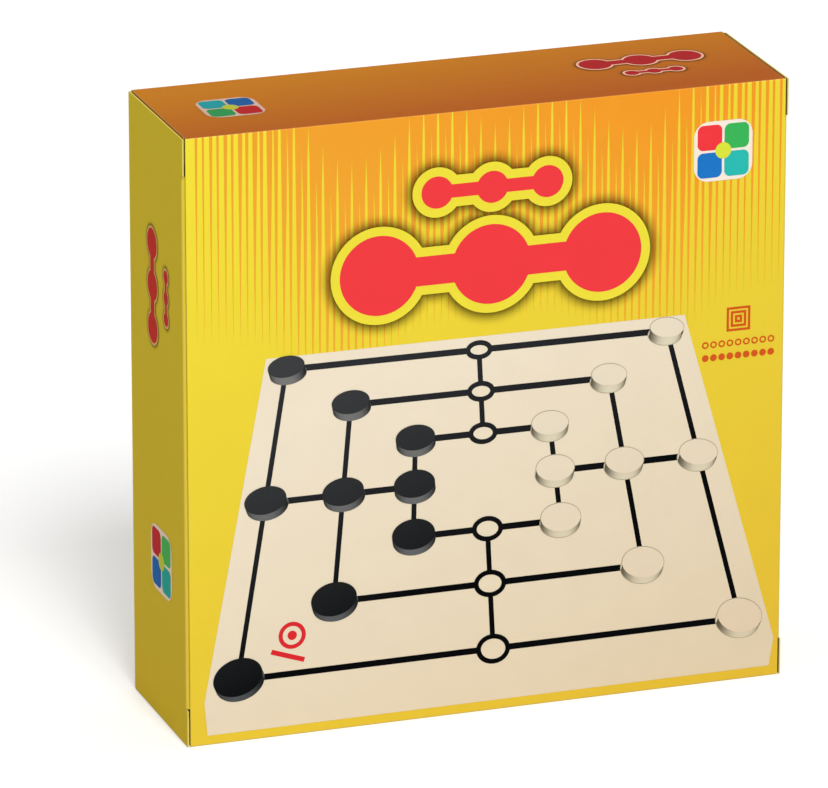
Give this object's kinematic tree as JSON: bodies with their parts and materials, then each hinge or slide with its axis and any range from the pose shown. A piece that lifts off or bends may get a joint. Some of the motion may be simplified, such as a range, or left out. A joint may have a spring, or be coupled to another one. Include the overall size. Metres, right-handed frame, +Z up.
{
  "type": "board game box",
  "caption": "Tuck-end carton for a merels game, with hinged end closures, tuck and dust flaps, holding a square playing board and light and dark men.",
  "frame": {"origin": "middle of the face that the carton stands on", "axes": "+Z up, the wide printed front panel faces -Y, and the end closures face -X and +X"},
  "size_m": [0.23, 0.064, 0.23],
  "materials": {
    "printed_front": "satin varnish over print",
    "printed_top": "satin varnish over print",
    "printed_end": "satin varnish over print",
    "plain_board": "uncoated",
    "playing_board": "matt lacquer",
    "men_light": "waxed",
    "men_dark": "stained and waxed"
  },
  "bodies": {
    "carton": {"front_panel": "printed_front", "top_panel": "printed_top", "back_panel": "printed_front", "bottom_panel": "printed_front", "glue_flap": "plain_board", "playing_board": "playing_board", "light_man_1": "men_light", "light_man_2": "men_light", "light_man_3": "men_light", "light_man_4": "men_light", "light_man_5": "men_light", "light_man_6": "men_light", "light_man_7": "men_light", "light_man_8": "men_light", "light_man_9": "men_light", "dark_man_1": "men_dark", "dark_man_2": "men_dark", "dark_man_3": "men_dark", "dark_man_4": "men_dark", "dark_man_5": "men_dark", "dark_man_6": "men_dark", "dark_man_7": "men_dark", "dark_man_8": "men_dark", "dark_man_9": "men_dark"},
    "left_closure": {"left_closure": "printed_end"},
    "left_tuck": {"left_tuck_flap": "printed_end"},
    "left_upper_dust": {"left_upper_dust_flap": "printed_end"},
    "left_lower_dust": {"left_lower_dust_flap": "printed_end"},
    "right_closure": {"right_closure": "printed_end"},
    "right_tuck": {"right_tuck_flap": "printed_end"},
    "right_upper_dust": {"right_upper_dust_flap": "printed_end"},
    "right_lower_dust": {"right_lower_dust_flap": "printed_end"}
  },
  "joints": [
    {"name": "left_closure_hinge", "type": "hinge", "parent": "carton", "child": "left_closure", "pos_m": [-0.11482, 0.03182, 0.115], "axis": [0, 0, -1], "range_deg": [0, 165]},
    {"name": "left_tuck_crease", "type": "hinge", "parent": "left_closure", "child": "left_tuck", "pos_m": [-0.11465, -0.03075, 0.115], "axis": [0, 0, 1], "range_deg": [0, 25]},
    {"name": "left_upper_dust_crease", "type": "hinge", "parent": "carton", "child": "left_upper_dust", "pos_m": [-0.11362, -0.0003, 0.22982], "axis": [0, 1, 0], "range_deg": [0, 91]},
    {"name": "left_lower_dust_crease", "type": "hinge", "parent": "carton", "child": "left_lower_dust", "pos_m": [-0.11362, -0.0003, 0.00018], "axis": [0, -1, 0], "range_deg": [0, 91]},
    {"name": "right_closure_hinge", "type": "hinge", "parent": "carton", "child": "right_closure", "pos_m": [0.11482, 0.03182, 0.115], "axis": [0, 0, 1], "range_deg": [0, 165]},
    {"name": "right_tuck_crease", "type": "hinge", "parent": "right_closure", "child": "right_tuck", "pos_m": [0.11465, -0.03075, 0.115], "axis": [0, 0, -1], "range_deg": [0, 25]},
    {"name": "right_upper_dust_crease", "type": "hinge", "parent": "carton", "child": "right_upper_dust", "pos_m": [0.11362, -0.0003, 0.22982], "axis": [0, -1, 0], "range_deg": [0, 91]},
    {"name": "right_lower_dust_crease", "type": "hinge", "parent": "carton", "child": "right_lower_dust", "pos_m": [0.11362, -0.0003, 0.00018], "axis": [0, 1, 0], "range_deg": [0, 91]}
  ],
  "couplings": [
    {"joint": "left_tuck_crease", "follows": "left_closure_hinge", "ratio": 0.15},
    {"joint": "left_upper_dust_crease", "follows": "left_closure_hinge", "ratio": 0.55},
    {"joint": "left_lower_dust_crease", "follows": "left_closure_hinge", "ratio": 0.55},
    {"joint": "right_tuck_crease", "follows": "right_closure_hinge", "ratio": 0.15},
    {"joint": "right_upper_dust_crease", "follows": "right_closure_hinge", "ratio": 0.55},
    {"joint": "right_lower_dust_crease", "follows": "right_closure_hinge", "ratio": 0.55}
  ]
}
